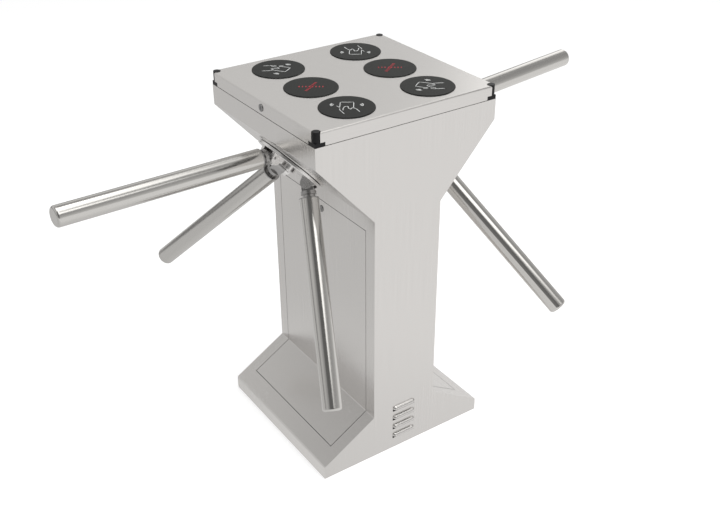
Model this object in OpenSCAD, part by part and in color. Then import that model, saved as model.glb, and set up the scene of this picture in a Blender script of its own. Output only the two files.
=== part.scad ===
// Double tripod turnstile: a waisted sheet-metal pedestal with a drop-arm tripod head on each side.
// X runs across the two passages, Y along the walking direction and Z up from the floor.
// The right side is the left side turned half a turn about Z.

/* [Housing] */
// Height of the lid's top above the floor
housing_h = 980; // [940:1:1020]
// Width across the two passages
body_w = 510; // [490:1:530]
// Depth along the walking direction
body_d = 477; // [460:1:500]
// Width of the waisted column
column_w = 195; // [180:1:210]
// Height of the upright edge at the foot
foot_h = 38; // [34:1:46]
// Height of the sloping flare above that edge
flare_h = 93; // [85:1:105]
// Height of the upright shoulder under the lid
shoulder_h = 52.5; // [48:0.5:60]
// Slope of the undercut faces from the horizontal, in degrees
under_slope = 48; // [46:0.5:50]
// Thickness of the stainless sheet
sheet = 2; // [1.5:0.1:2.5]

/* [Lid] */
// Height of the lid's skirt
skirt_h = 33; // [31:0.5:36]
// Gap between the skirt and the housing
seam_gap = 1.5; // [1:0.1:2.5]
// Distance from the discs' middles to the lid's side edge
disc_side = 140; // [133:1:147]
// Distance from an end disc's middle to the lid's end
disc_end = 86.5; // [82:0.5:90]
// Gap between neighbouring discs of a row
disc_gap = 20; // [18:1:26]
// Diameter of the black corner posts
post_dia = 18; // [15:0.5:20]

/* [Access panels] */
// Distance from the panel's side edges to the housing's ends
panel_side = 38.5; // [34:0.5:48]
// Distance of the panel's top edge below the column's top
panel_top_gap = 40; // [32:1:60]
// Length of the panel down the flare
panel_drop = 131; // [120:1:140]
// Seam round the panel
panel_gap = 1.5; // [1:0.1:2]

/* [Tripod heads] */
// Length of an arm from its pivot pin to its tip
arm_l = 544; // [480:1:570]
// Diameter of the arm tube
arm_dia = 48; // [42:1:48]
// Wall of the arm tube
arm_wall = 2.5; // [2:0.1:3]
// Angle between an arm and the hub's axis, in degrees
arm_cone = 44.4; // [43:0.1:46]
// Turn of the tripod from square at rest, in degrees
head_turn = -7.2; // [-8:0.1:-6]
// Diameter of the turning hub disc
hub_dia = 184; // [180:1:190]
// Distance of the pivot pins from the hub's axis
pivot_r = 67; // [65:0.5:69]
// Height of the pivot pins above the undercut face
pivot_h = 22; // [21.5:0.1:23]
// Diameter of the pivot pins
pin_dia = 12; // [10:0.5:13]
// Running clearance of turning parts, on the radius
fit = 0.05; // [0.02:0.01:0.08]

/* [Louvres] */
// Length of a louvre between its round ends
louvre_l = 72; // [60:1:84]
// Height of a louvre
louvre_h = 17; // [15:0.5:19]
// Distance from one louvre to the next
louvre_pitch = 30.5; // [28:0.5:33]
// Height of the lowest louvre above the floor
louvre_z = 40.5; // [38:0.5:44]
// Number of louvres
louvre_n = 4; // [3:1:4]

/* [Hidden] */

$fn = 64;
// How far a cut runs past the face it opens
overrun = 1;
// Gap between pieces that rest on each other and come apart
seat_gap = 0.3;
half_w = body_w / 2;
half_d = body_d / 2;
half_column = column_w / 2;
body_top = housing_h - skirt_h - seam_gap;
shoulder_z = body_top - shoulder_h;
under_run = half_w - half_column;
under_h = under_run * tan(under_slope);
column_top = shoulder_z - under_h;
flare_top = foot_h + flare_h;
flare_turn = atan(under_run / flare_h);
under_turn = 90 - under_slope;
skin_d = body_d - 2 * sheet;
disc_x = half_w - disc_side;
disc_y = half_d - disc_end;
disc_dia = disc_y - disc_gap;
panel_w = body_d - 2 * panel_side;
panel_top = column_top - panel_top_gap;

// Base plate, its welded lugs and holes
base_t = 8;
lug_l = 60;
lug_h = 24;
lug_t = 4;
anchor_x = 165;
anchor_y = 150;
anchor_r = 7;
cable_hole_r = 45;

// Plates: folded return flange, and the folds of all the sheets
return_d = 14;
bend_r = 2;
bend_steps = 4;
// Ring under the lid
ledge_h = 30;
ledge_t = 3;
lip_h = 12;
lip_clear = 1.2;
shelf_w = 22;
gusset_l = 44;
// Keeper that a lid lock's tongue turns under
keeper_t = 4;
keeper_w = 10;
keeper_clear = 1;
keeper_tab_h = 15;
// Between the ledge's welded or bolted members
join_gap = 0.1;

// Corner posts
post_in = 0.5;
foot_leg = 26;
foot_leg_t = 9;
foot_leg_h = 10;
post_proud = 1;
post_clear = 1.5;
post_x = half_w - post_in - post_dia / 2;
post_y = half_d - post_in - post_dia / 2;

// Access panel landing frame, pegs and lock
landing_w = 14;
peg_r = 3;
peg_clear = 0.5;
peg_l = 14;
peg_y = panel_w / 2 - landing_w / 2;
panel_lock_y = -3;
panel_lock_drop = 24;
lock_r = 7.5;
lock_rim_r = 9;
lock_rim_t = 1.5;
lock_l = 22;
tongue_l = 30;
tongue_w = 10;
tongue_t = 2.5;
panel_tongue_in = 3 * sheet;
keyway_w = 2;
keyway_l = 8;
keyway_d = 1;

// Lid: stiffening channels and lock
channel_w = 24;
channel_t = 2;
channel_y = disc_y / 2;
lid_lock_y = -7;
lid_tongue_in = 14;
lid_tongue_l = 24;

// Discs: plate that shows, spigot in the lid's hole and the board under it
disc_proud = 2;
disc_edge = 1.5;
spigot_step = 4;
spigot_wall = 4;
spigot_h = 16;
disc_hole_clear = 0.5;
board_t = 1.6;
board_step = 1;
coil_w = 4;
coil_t = 0.8;
coil_turns = 3;
coil_pitch = 6;
led_r = 2.5;
led_h = 4;
led_pitch = 9;
led_steps = 3;
chip = 14;
chip_t = 2;

// Head position on the undercut face and its fixed parts
hub_x = (half_w + half_column) / 2;
hub_z = (shoulder_z + column_top) / 2;
hub_hole_r = 50;
esc_dia = 196;
esc_t = 4;
esc_edge = 2;
esc_bore_r = 30;
flange_r = 85;
flange_t = 8;
flange_bosses = 6;
boss_ring_r = 70;
boss_r = 9;
boss_h = 6;
boss_bore_r = 4.2;
barrel_r = 40;
barrel_end = 62;
rib_t = 6;
bearing_r = 31;
bearing_bore = 30;
bearing_w = 16;
bearing_wall = 4.5;
outer_bearing_z = 12;
balls = 9;
ball_r = 4.6;
groove_clear = 0.1;
shoulder_r = 26;
mech_t = 4;
mech_hole_r = 28;
mech_x0 = -55;
mech_x1 = 62;
mech_y0 = -108;
mech_y1 = 182;

// Shaft and hub
shaft_r = bearing_bore / 2 - fit;
shaft_end = 106;
shaft_flange_r = 25;
shaft_flange_in = 0.5;
sleeve_r = 18;
hub_gap = 2;
hub_t = 7;
hub_edge = 1.5;
hub_boss_r = 22;
hub_boss_h = 9;
hub_bolt_r = 6;
hub_bolt_l = 30;
bolt_head_r = 9;
bolt_head_h = 6;
hex_r = 5;
hex_d = 3;
shaft_nut_r = 22;
shaft_nut_h = 8;

// Clevis, pin, knuckle and arm
cheek_t = 9;
cheek_r = 15;
cheek_base = 38;
// How far out on the round end the cheek's straight sides run into it
blend_share = 0.95;
boss_w = 32;
cheek_clear = 0.3;
slot_l = 34;
knuckle_r = 14;
pin_head_r = 7.5;
pin_head_h = 3;
pin_nut_r = 9;
pin_nut_h = 5;
collar_r = 19;
collar_z = 16.5;
collar_t = 8.5;
neck_r = 15;
neck_l = 8;
tube_z = 36;
plug_l = 30;
cap_t = 10;
cap_edge = 7;
cap_plug_l = 20;
tube_shoulder_t = 3;

// Index wheel, cam and lever
wheel_z = 70;
wheel_t = 10;
wheel_r = 60;
notch_n = 6;
notch_d = 8;
notch_clear = 3;
wheel_boss_r = 24;
wheel_boss_in = 1;
wheel_boss_end = 95;
cam_z = 84;
cam_t = 8;
cam_r = 48;
cam_lobe = 4;
cam_points = 90;
roller_r = 9;
roller_gap = 0.4;
roller_play = 0.5;
roller_pin_r = 3;
lever_z = 94;
lever_t = 4;
lever_w = 14;
lever_end_x = -45;
lever_pivot_x = 45;
lever_pivot_r = 5;
lever_boss_r = 9;
lever_y = cam_r + cam_lobe + roller_r + roller_gap;
spring_r = 6;
spring_wire = 0.9;
spring_turns = 7;
spring_rings = 12;
spring_sides = 6;
bracket_t = 4;
bracket_y = 100;
bracket_w = 24;

// Lock bolt, its guide and solenoid
lock_play = 1;
lock_travel = 8;
bolt_w = 10;
bolt_h = 8;
bolt_l = 44;
rod_r = 4;
rod_l = 46;
guide_y = 68;
guide_l = 24;
guide_w = 30;
guide_clear = 0.1;
solenoid_y = 122;
solenoid_l = 54;
solenoid_w = 36;
solenoid_h = 34;
solenoid_wall = 4;
coil_r = 14;

// Electronics
plate_t = 3;
plate_fold = 20;
plate_d = 340;
plate_top_gap = 78;
plate_top = column_top - plate_top_gap;
plate_foot_share = 0.25;
pcb_w = 200;
pcb_h = 250;
pcb_top_gap = 50;
pcb_z = plate_top - pcb_h - pcb_top_gap;
chip_share = 0.2;
pcb_standoff = 8;
standoff_r = 4;
standoff_in = 8;
relay_n = 6;
relay_w = 18;
relay_h = 28;
relay_d = 16;
relay_pitch = 28;
terminal_h = 12;
terminal_d = 14;
psu_w = 110;
psu_h = 200;
psu_d = 50;
psu_z = 100;
psu_fins = 9;
psu_fin_t = 3;
psu_fin_d = 3;
psu_terminal_h = 22;

steel = [0.74, 0.74, 0.72];
bright = [0.8, 0.8, 0.8];
dark = [0.2, 0.2, 0.21];
black = [0.05, 0.05, 0.05];
machined = [0.6, 0.62, 0.64];
zinc = [0.66, 0.68, 0.66];
brass_tone = [0.8, 0.66, 0.35];
board_green = [0.1, 0.35, 0.2];

// Placing

module turned(right) rotate([0, 0, right ? 180 : 0]) children();
module along_y(length) translate([0, length / 2, 0]) rotate([90, 0, 0]) linear_extrude(length) children();
module slab(size, at = [0, 0, 0]) translate([at.x - size.x / 2, at.y - size.y / 2, at.z]) cube(size);
module head_frame() translate([-hub_x, 0, hub_z]) rotate([0, 180 + under_slope, 0]) children();
module drum(r, z0, z1) translate([0, 0, z0]) cylinder(h = z1 - z0, r = r);
module rod_y(r, y0, y1) translate([0, y0, 0]) rotate([-90, 0, 0]) cylinder(h = y1 - y0, r = r);
module rod_x(r, x0, x1) translate([x0, 0, 0]) rotate([0, 90, 0]) cylinder(h = x1 - x0, r = r);
// Left arm k, with its pivot pin along y and the tube along z
module arm_frame(k) {
    head_frame() rotate([0, 0, head_turn + 120 * (k - 1)])
        translate([pivot_r, 0, pivot_h]) rotate([0, arm_cone, 0]) children();
}

// Arc of radius r in the corner b between a and c
function bend(a, b, c, r) =
    let (u = (a - b) / norm(a - b), v = (c - b) / norm(c - b), half = acos(u * v) / 2,
        centre = b + (u + v) / norm(u + v) * r / sin(half), from = b + u * r / tan(half) - centre,
        to = b + v * r / tan(half) - centre, start = atan2(from.y, from.x),
        sweep = (atan2(to.y, to.x) - start + 540) % 360 - 180)
    [for (i = [0 : bend_steps]) centre + r * [cos(start + sweep * i / bend_steps),
        sin(start + sweep * i / bend_steps)]];
// Corners of the housing's profile, inset by t, on the left from the floor to the lid
function corners(t) = [
    [-half_w + t, 0],
    [-half_w + t, foot_h - t * tan(flare_turn / 2)],
    [-half_column + t, flare_top - t * tan(flare_turn / 2)],
    [-half_column + t, column_top + t * tan(under_turn / 2)],
    [-half_w + t, shoulder_z + t * tan(under_turn / 2)],
    [-half_w + t, body_top]];
// Radius of a fold at that inset, where the sheet turns away from or towards the outside
function fold_r(t, away) = away ? bend_r + 2 * sheet - t : bend_r + t;
function profile(t) = let (c = corners(t)) [c[0],
    each bend(c[0], c[1], c[2], fold_r(t, true)), each bend(c[1], c[2], c[3], fold_r(t, false)),
    each bend(c[2], c[3], c[4], fold_r(t, false)), each bend(c[3], c[4], c[5], fold_r(t, true)), c[5]];
function reversed(list) = [for (i = [len(list) - 1 : -1 : 0]) list[i]];
function mirrored(list) = [for (p = list) [-p.x, p.y]];
// Sheet between two insets of the left profile
module strip(t0, t1) polygon(concat(profile(t0), reversed(profile(t1))));
// The same between a height on the column and a distance down the flare
function flare_point(t, drop) = [
    -half_column - drop * sin(flare_turn) + t * cos(flare_turn),
    flare_top - drop * cos(flare_turn) - t * sin(flare_turn)];
function band_edge(t, top, drop) = let (a = [-half_column + t, top], c = flare_point(t, drop))
    [a, each bend(a, corners(t)[2], c, fold_r(t, false)), c];
module band(t0, t1, top, drop) {
    polygon(concat(band_edge(t0, top, drop), reversed(band_edge(t1, top, drop))));
}

// Housing

module base_frame() color(machined) difference() {
    union() {
        slab([body_w - 2 * sheet, skin_d, base_t]);
        for (side = [-1, 1]) {
            slab([lug_t, lug_l, lug_h], [side * (half_w - sheet - lug_t / 2), 0, base_t]);
            slab([lug_l, lug_t, lug_h], [0, side * (skin_d / 2 - lug_t / 2), base_t]);
        }
    }
    for (x = [-anchor_x, anchor_x], y = [-anchor_y, anchor_y])
        translate([x, y, -overrun]) cylinder(h = base_t + 2 * overrun, r = anchor_r);
    translate([0, 0, -overrun]) cylinder(h = base_t + 2 * overrun, r = cable_hole_r);
}

module louvre_hood(r) {
    reach = louvre_l / 2 - louvre_h / 2;
    rod_x(r, -reach, reach);
    for (x = [-reach, reach]) translate([x, 0, 0]) sphere(r = r);
}

// One end plate, seen from its outer face at y = -half_d
module end_plate(louvred) {
    outline = concat(profile(0), mirrored(reversed(profile(0))));
    hood_y = -half_d + sheet / 2;
    difference() {
        union() {
            translate([0, -half_d + sheet / 2, 0]) along_y(sheet) polygon(outline);
            intersection() {
                translate([0, -half_d + sheet + return_d / 2, 0]) along_y(return_d) {
                    strip(sheet, 2 * sheet);
                    mirror([1, 0]) strip(sheet, 2 * sheet);
                }
                slab([body_w, body_d, body_top - ledge_h - base_t - lug_h], [0, 0, base_t + lug_h]);
            }
            if (louvred) louvres(hood_y) louvre_hood(louvre_h / 2);
        }
        if (louvred) louvres(hood_y) {
            louvre_hood(louvre_h / 2 - sheet);
            translate([0, 0, -louvre_h / 2]) slab([louvre_l, louvre_h, louvre_h / 2]);
        }
        if (louvred) translate([0, -half_d + sheet + louvre_h / 2, 0])
            slab([louvre_l, louvre_h, louvre_pitch * louvre_n], [0, 0, louvre_z - louvre_pitch / 2]);
    }
}
module louvres(y) for (i = [0 : louvre_n - 1]) translate([0, y, louvre_z + i * louvre_pitch]) children();

module skin() color(steel) difference() {
    union() {
        along_y(skin_d) strip(0, sheet);
        along_y(panel_w + 2 * landing_w)
            band(sheet, 2 * sheet, panel_top + landing_w, panel_drop + landing_w);
    }
    along_y(panel_w + 2 * panel_gap)
        band(-overrun, sheet + seat_gap, panel_top + panel_gap, panel_drop + panel_gap);
    along_y(panel_w - 2 * landing_w)
        band(-overrun, 2 * sheet + overrun, panel_top - landing_w, panel_drop - landing_w);
    pegs() rod_x(peg_r + peg_clear, -peg_l, peg_l);
    head_frame() drum(hub_hole_r, -sheet - overrun, overrun);
}
module pegs() for (y = [-peg_y, peg_y])
    translate([-half_column, y, flare_top + panel_top / 2 - landing_w]) children();

module lid_ledge() color(zinc) {
    inner = [body_w - 2 * sheet - 2 * ledge_t, skin_d - 2 * ledge_t, ledge_h + lip_h + 2 * overrun];
    difference() {
        union() {
            difference() {
                slab([body_w - 2 * sheet, skin_d, ledge_h], [0, 0, body_top - ledge_h]);
                slab(inner, [0, 0, body_top - ledge_h - overrun]);
            }
            difference() {
                slab([body_w - 2 * sheet - 2 * lip_clear, skin_d - 2 * lip_clear, lip_h], [0, 0, body_top]);
                slab([inner.x, inner.y, lip_h], [0, 0, body_top - ledge_t]);
                slab([inner.x - 2 * shelf_w, inner.y - 2 * shelf_w, ledge_h], [0, 0, body_top]);
                for (x = [-half_w, half_w], y = [-half_d, half_d])
                    slab([2 * gusset_l, 2 * gusset_l, ledge_h], [x, y, body_top]);
            }
            for (x = [-1, 1], y = [-1, 1]) scale([x, y, 1]) gusset();
        }
        for (x = [-1, 1], y = [-half_d, half_d])
            slab([join_gap, 4 * gusset_l, ledge_h + overrun],
                [x * (inner.x - join_gap) / 2, y, body_top - ledge_h - overrun]);
        for (right = [false, true]) turned(right)
            slab([2 * shelf_w + 2 * sheet, 2 * lid_tongue_l + 2 * keeper_w, ledge_h],
                [-half_w + sheet, lid_lock_y, body_top]);
    }
    for (right = [false, true]) turned(right) keeper();
}
module gusset() translate([half_w - sheet - ledge_t, half_d - sheet - ledge_t, body_top - ledge_t])
    linear_extrude(ledge_t) polygon([[0, 0], [-gusset_l, 0], [0, -gusset_l]]);
// Bracket on the side member that the lid lock's tongue turns under
module keeper() {
    x = -half_w + sheet + lid_tongue_in + tongue_t / 2;
    seat_x = -half_w + sheet + ledge_t + join_gap;
    tongue_top = lid_lock_z() + tongue_w / 2;
    y = lid_lock_y - norm([lid_tongue_l, tongue_w / 2]) - keeper_clear - keeper_t / 2;
    slab([keeper_w, keeper_t, tongue_top + keeper_t + keeper_clear - body_top + ledge_t],
        [x, y, body_top - ledge_t]);
    slab([keeper_w, keeper_w + keeper_t, keeper_t], [x, y + keeper_w / 2, tongue_top + keeper_clear]);
    slab([x + keeper_w / 2 - seat_x, 2 * keeper_t, ledge_t],
        [(x + keeper_w / 2 + seat_x) / 2, y, body_top - ledge_t]);
    slab([ledge_t, 2 * keeper_t, keeper_tab_h], [seat_x + ledge_t / 2, y, body_top - keeper_tab_h]);
}
function lid_lock_z() = housing_h - skirt_h / 2;

module corner_posts() color(black) for (x = [-1, 1], y = [-1, 1]) scale([x, y, 1]) {
    translate([post_x, post_y, body_top])
        cylinder(h = housing_h + post_proud - body_top, r = post_dia / 2);
    slab([foot_leg, foot_leg_t, foot_leg_h],
        [half_w - post_in - foot_leg / 2, half_d - post_in - foot_leg_t / 2, body_top]);
    slab([foot_leg_t, foot_leg, foot_leg_h],
        [half_w - post_in - foot_leg_t / 2, half_d - post_in - foot_leg / 2, body_top]);
}

module equipment_plate() color(zinc) {
    slab([plate_t, plate_d, plate_top - base_t], [0, 0, base_t]);
    for (side = [-1, 1])
        slab([plate_fold, plate_t, plate_top - base_t],
            [plate_fold / 2 - plate_t / 2, side * (plate_d - plate_t) / 2, base_t]);
    for (side = [-1, 1])
        slab([plate_fold, plate_d * plate_foot_share, plate_t],
            [plate_fold / 2, side * (1 - plate_foot_share) * plate_d / 2, base_t]);
}

module control_board() color(board_green) {
    x = -plate_t / 2 - pcb_standoff;
    slab([board_t, pcb_w, pcb_h], [x - board_t / 2, 0, pcb_z]);
    for (y = [-1, 1], z = [standoff_in, pcb_h - standoff_in])
        translate([0, y * (pcb_w / 2 - standoff_in), pcb_z + z]) rod_x(standoff_r, x, -plate_t / 2);
    for (i = [0 : relay_n - 1])
        slab([relay_d, relay_w, relay_h], [x - board_t - relay_d / 2,
            (i - (relay_n - 1) / 2) * relay_pitch, pcb_z + pcb_h - relay_h - 2 * standoff_in]);
    slab([terminal_d, pcb_w - 4 * standoff_in, terminal_h],
        [x - board_t - terminal_d / 2, 0, pcb_z + standoff_in]);
    for (side = [-1, 1])
        slab([chip_t, 2 * chip, 2 * chip],
            [x - board_t - chip_t / 2, side * pcb_w * chip_share, pcb_z + pcb_h / 2 - chip]);
}

module power_supply() color(machined) difference() {
    union() {
        slab([psu_d, psu_w, psu_h - psu_terminal_h], [plate_t / 2 + psu_d / 2, 0, psu_z + psu_terminal_h]);
        slab([psu_d / 2, psu_w, psu_terminal_h], [plate_t / 2 + psu_d / 4, 0, psu_z]);
    }
    for (i = [1 : psu_fins])
        slab([psu_fin_d * 2, psu_fin_t, psu_h], [plate_t / 2 + psu_d,
            i / (psu_fins + 1) * psu_w - psu_w / 2, psu_z + psu_terminal_h * 2]);
}

// Lid

module lid() color(steel) {
    z0 = housing_h - skirt_h;
    difference() {
        union() {
            difference() {
                lid_block(0, z0);
                lid_block(sheet, z0 - overrun);
            }
            intersection() {
                lid_block(0, z0);
                for (x = [-post_x, post_x], y = [-post_y, post_y])
                    translate([x, y, z0]) cylinder(h = skirt_h, r = post_dia / 2 + post_clear + sheet);
            }
            for (y = [-channel_y, channel_y]) channel(y);
        }
        for (x = [-1, 1], y = [-1, 1]) scale([x, y, 1]) {
            translate([post_x, post_y, z0 - overrun])
                cylinder(h = skirt_h + 2 * overrun, r = post_dia / 2 + post_clear);
            translate([post_x, post_y, z0 - overrun])
                cube([post_dia, post_dia, skirt_h + 2 * overrun]);
            slab([2 * foot_leg + post_clear, 2 * foot_leg + post_clear, foot_leg_h + seat_gap + overrun],
                [half_w, half_d, body_top - overrun]);
        }
        for (x = [-disc_x, disc_x], y = [-disc_y, 0, disc_y])
            translate([x, y, z0 - overrun])
                cylinder(h = skirt_h + 2 * overrun, r = disc_dia / 2 - spigot_step + disc_hole_clear);
        for (right = [false, true]) turned(right)
            translate([-half_w, lid_lock_y, lid_lock_z()]) rod_x(lock_r, -overrun, sheet + overrun);
    }
}
// Block under the lid's folded edges, inset by t, down to the height low
module lid_block(t, low) intersection() {
    along_y(body_d - 2 * t) lid_section(half_w - t, housing_h - t, low, bend_r + sheet - t);
    rotate([0, 0, 90]) along_y(body_w - 2 * t)
        lid_section(half_d - t, housing_h - t, low, bend_r + sheet - t);
}
module lid_section(x, top, low, r) polygon(concat([[-x, low]], bend([-x, low], [-x, top], [x, top], r),
    bend([-x, top], [x, top], [x, low], r), [[x, low]]));
module channel(y) {
    bottom = body_top + lip_h + seat_gap;
    height = housing_h - sheet - bottom;
    length = body_w - 2 * sheet - 2 * lip_clear;
    difference() {
        slab([length, channel_w, height], [0, y, bottom]);
        slab([length + 2 * overrun, channel_w - 2 * channel_t, height], [0, y, bottom + channel_t]);
    }
}

module disc(x, y) translate([x, y, housing_h]) {
    r = disc_dia / 2;
    rotate_extrude() {
        square([r - disc_edge, disc_proud]);
        square([r, disc_proud - disc_edge]);
        translate([r - disc_edge, disc_proud - disc_edge]) intersection() {
            circle(r = disc_edge);
            square(disc_edge);
        }
    }
    difference() {
        drum(r - spigot_step, -spigot_h, 0);
        drum(r - spigot_step - spigot_wall, -spigot_h - overrun, overrun);
    }
}

module disc_board(x, y) translate([x, y, housing_h - spigot_h]) {
    r = disc_dia / 2 - spigot_step - board_step;
    drum(r, -board_t, 0);
    slab([chip, chip, chip_t], [r / 2, 0, -board_t - chip_t]);
    slab([chip, 2 * chip, chip_t], [-r / 2, 0, -board_t - chip_t]);
}
module disc_boards() color(board_green) for (x = [-disc_x, disc_x]) {
    coil_r0 = disc_dia / 2 - spigot_step - spigot_wall - coil_w - board_step;
    for (y = [-disc_y, disc_y]) {
        disc_board(x, y);
        for (i = [0 : coil_turns - 1]) translate([x, y, housing_h - spigot_h]) difference() {
            drum(coil_r0 - i * coil_pitch + coil_w / 2, 0, coil_t);
            drum(coil_r0 - i * coil_pitch, -overrun, coil_t + overrun);
        }
    }
    disc_board(x, 0);
    translate([x, 0, housing_h - spigot_h]) for (turn = [45 : 90 : 315], i = [1 : led_steps])
        rotate([0, 0, turn]) translate([i * led_pitch, 0, 0]) drum(led_r, 0, led_h);
}

// Cam lock along -x with its face at x = 0 and its tongue along -z
module cam_lock(depth, reach) {
    difference() {
        union() {
            rod_x(lock_rim_r, -lock_rim_t, 0);
            rod_x(lock_r - fit, 0, lock_l);
        }
        slab([2 * keyway_d, keyway_w, keyway_l], [-lock_rim_t, 0, -keyway_l / 2]);
    }
    slab([tongue_t, tongue_w, reach], [depth + tongue_t / 2, 0, -reach]);
    translate([depth, 0, 0]) rod_x(tongue_w / 2, 0, tongue_t);
}
module lid_lock() color(dark) translate([-half_w, lid_lock_y, lid_lock_z()])
    cam_lock(sheet + lid_tongue_in, lid_tongue_l);
module panel_lock_at()
    translate([-half_column, panel_lock_y, panel_top - panel_lock_drop]) children();
module panel_lock() color(dark) panel_lock_at() rotate([-90, 0, 0]) cam_lock(panel_tongue_in, tongue_l);

module access_panel() color(steel) {
    difference() {
        along_y(panel_w) band(0, sheet, panel_top, panel_drop);
        panel_lock_at() rod_x(lock_r, -overrun, sheet + overrun);
    }
    pegs() rod_x(peg_r, sheet, peg_l);
}

// Fixed parts of a head, in the head's frame: z runs out of the undercut face

module escutcheon() {
    r = esc_dia / 2;
    rotate_extrude() {
        translate([esc_bore_r, 0]) square([r - esc_edge - esc_bore_r, esc_t]);
        translate([esc_bore_r, 0]) square([r - esc_bore_r, esc_t - esc_edge]);
        translate([r - esc_edge, esc_t - esc_edge]) intersection() {
            circle(r = esc_edge);
            square(esc_edge);
        }
    }
}

module head_housing() color(machined) head_frame() {
    difference() {
        union() {
            drum(flange_r, -sheet - flange_t, -sheet);
            drum(barrel_r, -barrel_end, -sheet);
            for (i = [0 : flange_bosses - 1]) rotate([0, 0, i * 360 / flange_bosses + 30]) {
                translate([boss_ring_r, 0, 0])
                    drum(boss_r, -sheet - flange_t - boss_h, -sheet - flange_t);
            }
            for (i = [0 : flange_bosses - 1]) rotate([0, 0, i * 360 / flange_bosses]) rib();
            translate([0, 0, -barrel_end - mech_t])
                slab([mech_x1 - mech_x0, mech_y1 - mech_y0, mech_t],
                    [(mech_x0 + mech_x1) / 2, (mech_y0 + mech_y1) / 2, 0]);
        }
        drum(bearing_r, -outer_bearing_z - bearing_w, overrun);
        drum(shoulder_r, -barrel_end, 0);
        drum(bearing_r, -barrel_end, -barrel_end + bearing_w);
        drum(mech_hole_r, -barrel_end - mech_t - overrun, 0);
        for (i = [0 : flange_bosses - 1]) rotate([0, 0, i * 360 / flange_bosses + 30])
            translate([boss_ring_r, 0, 0])
                drum(boss_bore_r, -sheet - flange_t - boss_h - overrun, 0);
    }
    // Lever's pivot post and the spring's bracket
    translate([lever_pivot_x, -lever_y, 0]) {
        drum(lever_pivot_r, -lever_z - 2 * lever_t, -barrel_end - mech_t);
        drum(lever_boss_r, -lever_z + roller_play, -barrel_end - mech_t);
    }
    slab([bracket_w, bracket_t, lever_z + 2 * lever_t - barrel_end - mech_t],
        [lever_end_x + bracket_t, -bracket_y - bracket_t / 2, -lever_z - 2 * lever_t]);
    // Guide of the lock bolt
    difference() {
        slab([guide_w, guide_l, bolt_z() + bolt_h / 2 + mech_t - barrel_end - mech_t],
            [0, guide_y + guide_l / 2, -bolt_z() - bolt_h / 2 - mech_t]);
        slab([bolt_w + 2 * guide_clear, 2 * guide_l, bolt_h + 2 * guide_clear],
            [0, guide_y + guide_l / 2, -bolt_z() - bolt_h / 2 - guide_clear]);
    }
}
function bolt_z() = wheel_z + wheel_t / 2;
module rib() translate([0, rib_t / 2, 0]) rotate([90, 0, 0]) linear_extrude(rib_t)
    polygon([[barrel_r - rib_t, -sheet - flange_t], [flange_r - boss_r, -sheet - flange_t],
        [barrel_r - rib_t, -barrel_end + mech_t]]);

module bearing(z) {
    inner_r = bearing_bore / 2;
    track_r = (bearing_r + inner_r) / 2;
    for (ring = [[inner_r, inner_r + bearing_wall], [bearing_r - bearing_wall, bearing_r]])
        difference() {
            drum(ring[1], z - bearing_w, z);
            drum(ring[0], z - bearing_w - overrun, z + overrun);
            translate([0, 0, z - bearing_w / 2]) rotate_extrude()
                translate([track_r, 0]) circle(r = ball_r + groove_clear);
        }
    for (i = [0 : balls - 1]) rotate([0, 0, i * 360 / balls])
        translate([track_r, 0, z - bearing_w / 2]) sphere(r = ball_r);
}

module solenoid() translate([0, solenoid_y, -barrel_end - mech_t - solenoid_h]) difference() {
    axis = solenoid_h + barrel_end + mech_t - bolt_z();
    union() {
        difference() {
            slab([solenoid_w, solenoid_l, solenoid_h], [0, solenoid_l / 2, 0]);
            slab([solenoid_w + 2 * overrun, solenoid_l - 2 * solenoid_wall, solenoid_h - 2 * solenoid_wall],
                [0, solenoid_l / 2, solenoid_wall]);
        }
        translate([0, 0, solenoid_h / 2]) rod_y(coil_r, solenoid_wall, solenoid_l - solenoid_wall);
    }
    translate([0, 0, axis]) rod_y(rod_r + guide_clear, -overrun, solenoid_l + overrun);
}

// Compression spring between the lever's end and its bracket, as one swept tube
module detent_spring() {
    length = bracket_y - lever_y - lever_w / 2;
    rings = spring_turns * spring_rings;
    points = [for (i = [0 : rings], j = [0 : spring_sides - 1])
        let (a = 360 * i / spring_rings, b = 360 * j / spring_sides,
            r = spring_r + spring_wire * cos(b),
            h = spring_wire + (length - 2 * spring_wire) * i / rings + spring_wire * sin(b))
        [r * cos(a), r * sin(a), h]];
    sides = [for (i = [0 : rings - 1], j = [0 : spring_sides - 1])
        let (a = i * spring_sides + j, b = i * spring_sides + (j + 1) % spring_sides)
        each [[a, b, b + spring_sides], [a, b + spring_sides, a + spring_sides]]];
    ends = [for (j = [1 : spring_sides - 2])
        each [[0, j + 1, j], [rings * spring_sides, rings * spring_sides + j,
            rings * spring_sides + j + 1]]];
    translate([lever_end_x + bracket_t, -lever_y - lever_w / 2, -lever_z - lever_t / 2])
        rotate([90, 0, 0]) polyhedron(points, concat(sides, ends));
}

// Turning parts of a head

module hub() color(bright) head_frame() rotate([0, 0, head_turn]) {
    z0 = esc_t + hub_gap;
    r = hub_dia / 2;
    difference() {
        union() {
            translate([0, 0, z0]) rotate_extrude() {
                square([r - hub_edge, hub_t]);
                square([r, hub_t - hub_edge]);
                translate([r - hub_edge, hub_t - hub_edge]) intersection() {
                    circle(r = hub_edge);
                    square(hub_edge);
                }
            }
            drum(hub_boss_r, z0, z0 + hub_t + hub_boss_h);
            for (k = [0 : 2]) rotate([0, 0, 120 * k]) clevis();
        }
        for (k = [0 : 2]) rotate([0, 0, 120 * k]) {
            slab([slot_l, boss_w + 2 * cheek_clear, 2 * hub_t + z0], [pivot_r, 0, -z0]);
            translate([pivot_r, 0, pivot_h]) rod_y(pin_dia / 2, -boss_w, boss_w);
        }
        drum(hub_bolt_r, 0, z0 + hub_t + hub_boss_h);
        drum(bolt_head_r, z0 + hub_t + hub_boss_h - bolt_head_h, 2 * pivot_h);
    }
}
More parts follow.
